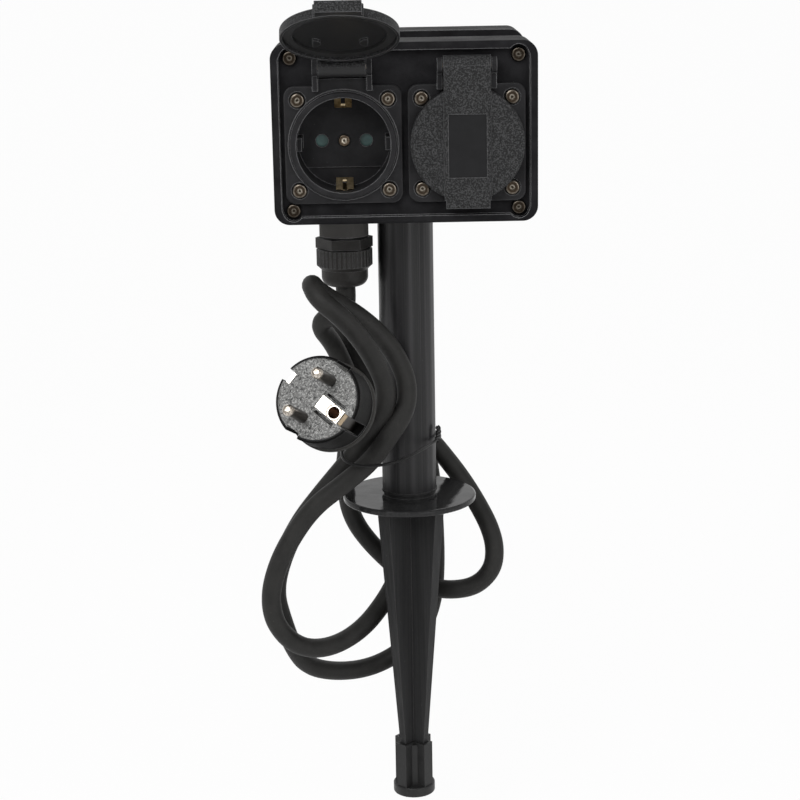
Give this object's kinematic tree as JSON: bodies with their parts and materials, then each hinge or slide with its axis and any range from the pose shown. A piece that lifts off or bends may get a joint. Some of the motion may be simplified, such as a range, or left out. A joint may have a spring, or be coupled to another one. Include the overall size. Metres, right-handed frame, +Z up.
{
  "type": "garden socket",
  "caption": "Outdoor outlet box with hinged lids on a round pole with a ground spike, a collecting disc and a bundled supply cord with plug.",
  "frame": {"origin": "on the pole's axis at the underside of the ground disc, which meets the soil", "axes": "+Z up along the pole, -Y towards the front outlets, +X to the right seen from the front"},
  "size_m": [0.1253, 0.18, 0.3823],
  "materials": {
    "housing_plastic": "satin moulded black with smooth sheen",
    "insert_plastic": "fine satin moulded black",
    "lid_plastic": "coarse spark-eroded black with a smooth window",
    "base_plastic": "plain moulded black",
    "shutter_plastic": "plain moulded green",
    "contact_brass": "stamped, lightly burnished",
    "screw_steel": "warm passivated steel",
    "spring_steel": "drawn wire",
    "seal_rubber": "soft matt black",
    "pole_plastic": "extruded black with faint lengthwise lines",
    "spike_plastic": "moulded glossy black",
    "cap_rubber": "soft satin black",
    "gland_plastic": "moulded black nylon",
    "cord_rubber": "matt black rubber sheath",
    "live_insulation": "brown insulation",
    "neutral_insulation": "blue insulation",
    "earth_insulation": "green insulation with a yellow stripe",
    "plug_rubber": "moulded matt black rubber",
    "plug_face_plastic": "speckled grey moulded face",
    "pin_metal": "nickel-plated and polished",
    "tie_plastic": "plain black"
  },
  "bodies": {
    "stand": {"housing_body": "housing_plastic", "front_cover": "housing_plastic", "rear_cover": "housing_plastic", "front_cover_seal": "seal_rubber", "rear_cover_seal": "seal_rubber", "flange_gaskets": "seal_rubber", "front_cover_screws": "screw_steel", "rear_cover_screws": "screw_steel", "front_socket_screws": "screw_steel", "rear_socket_screws": "screw_steel", "center_screws": "screw_steel", "pole_screw": "screw_steel", "hinge_pins": "screw_steel", "front_left_insert": "insert_plastic", "front_left_contact_base": "base_plastic", "front_left_contacts": "contact_brass", "front_left_earth_strap": "contact_brass", "front_right_insert": "insert_plastic", "front_right_contact_base": "base_plastic", "front_right_contacts": "contact_brass", "front_right_earth_strap": "contact_brass", "rear_left_insert": "insert_plastic", "rear_left_contact_base": "base_plastic", "rear_left_contacts": "contact_brass", "rear_left_earth_strap": "contact_brass", "rear_right_insert": "insert_plastic", "rear_right_contact_base": "base_plastic", "rear_right_contacts": "contact_brass", "rear_right_earth_strap": "contact_brass", "shutter_springs": "spring_steel", "pole": "pole_plastic", "spike": "spike_plastic", "gland_body": "gland_plastic", "gland_nut": "gland_plastic", "gland_seal": "seal_rubber", "gland_sleeve": "seal_rubber", "cord": "cord_rubber", "cord_inside": "cord_rubber", "live_wires": "live_insulation", "neutral_wires": "neutral_insulation", "earth_wires": "earth_insulation", "plug_body": "plug_rubber", "plug_face": "plug_face_plastic", "plug_pins": "pin_metal", "plug_earth_contact": "pin_metal", "cable_tie": "tie_plastic"},
    "front_left_lid": {"front_left_lid": "lid_plastic", "front_left_lid_seal": "seal_rubber"},
    "front_left_shutter": {"front_left_shutter": "shutter_plastic"},
    "front_right_lid": {"front_right_lid": "lid_plastic", "front_right_lid_seal": "seal_rubber"},
    "front_right_shutter": {"front_right_shutter": "shutter_plastic"},
    "rear_left_lid": {"rear_left_lid": "lid_plastic", "rear_left_lid_seal": "seal_rubber"},
    "rear_left_shutter": {"rear_left_shutter": "shutter_plastic"},
    "rear_right_lid": {"rear_right_lid": "lid_plastic", "rear_right_lid_seal": "seal_rubber"},
    "rear_right_shutter": {"rear_right_shutter": "shutter_plastic"},
    "tip_cap": {"spike_cap": "cap_rubber"}
  },
  "joints": [
    {"name": "front_left_lid_hinge", "type": "hinge", "parent": "stand", "child": "front_left_lid", "pos_m": [-0.026, -0.0577, 0.2048], "axis": [-1, 0, 0], "range_deg": [-115.5, 4]},
    {"name": "front_left_shutter_hinge", "type": "hinge", "parent": "stand", "child": "front_left_shutter", "pos_m": [-0.026, -0.055, 0.1722], "axis": [0, 1, 0], "range_deg": [0, 38], "stiffness_Nm_per_rad": 0.0015, "springref_deg": -5.73},
    {"name": "front_right_lid_hinge", "type": "hinge", "parent": "stand", "child": "front_right_lid", "pos_m": [0.026, -0.0577, 0.2048], "axis": [-1, 0, 0], "range_deg": [0, 119.5]},
    {"name": "front_right_shutter_hinge", "type": "hinge", "parent": "stand", "child": "front_right_shutter", "pos_m": [0.026, -0.055, 0.1722], "axis": [0, 1, 0], "range_deg": [0, 38], "stiffness_Nm_per_rad": 0.0015, "springref_deg": -5.73},
    {"name": "rear_left_lid_hinge", "type": "hinge", "parent": "stand", "child": "rear_left_lid", "pos_m": [-0.026, 0.0577, 0.2048], "axis": [1, 0, 0], "range_deg": [0, 119.5]},
    {"name": "rear_left_shutter_hinge", "type": "hinge", "parent": "stand", "child": "rear_left_shutter", "pos_m": [-0.026, 0.055, 0.1722], "axis": [0, 1, 0], "range_deg": [0, 38], "stiffness_Nm_per_rad": 0.0015, "springref_deg": -5.73},
    {"name": "rear_right_lid_hinge", "type": "hinge", "parent": "stand", "child": "rear_right_lid", "pos_m": [0.026, 0.0577, 0.2048], "axis": [1, 0, 0], "range_deg": [0, 119.5]},
    {"name": "rear_right_shutter_hinge", "type": "hinge", "parent": "stand", "child": "rear_right_shutter", "pos_m": [0.026, 0.055, 0.1722], "axis": [0, 1, 0], "range_deg": [0, 38], "stiffness_Nm_per_rad": 0.0015, "springref_deg": -5.73},
    {"name": "tip_cap_pull", "type": "slide", "parent": "stand", "child": "tip_cap", "axis": [0, 0, -1], "range_m": [0, 0.028]}
  ]
}
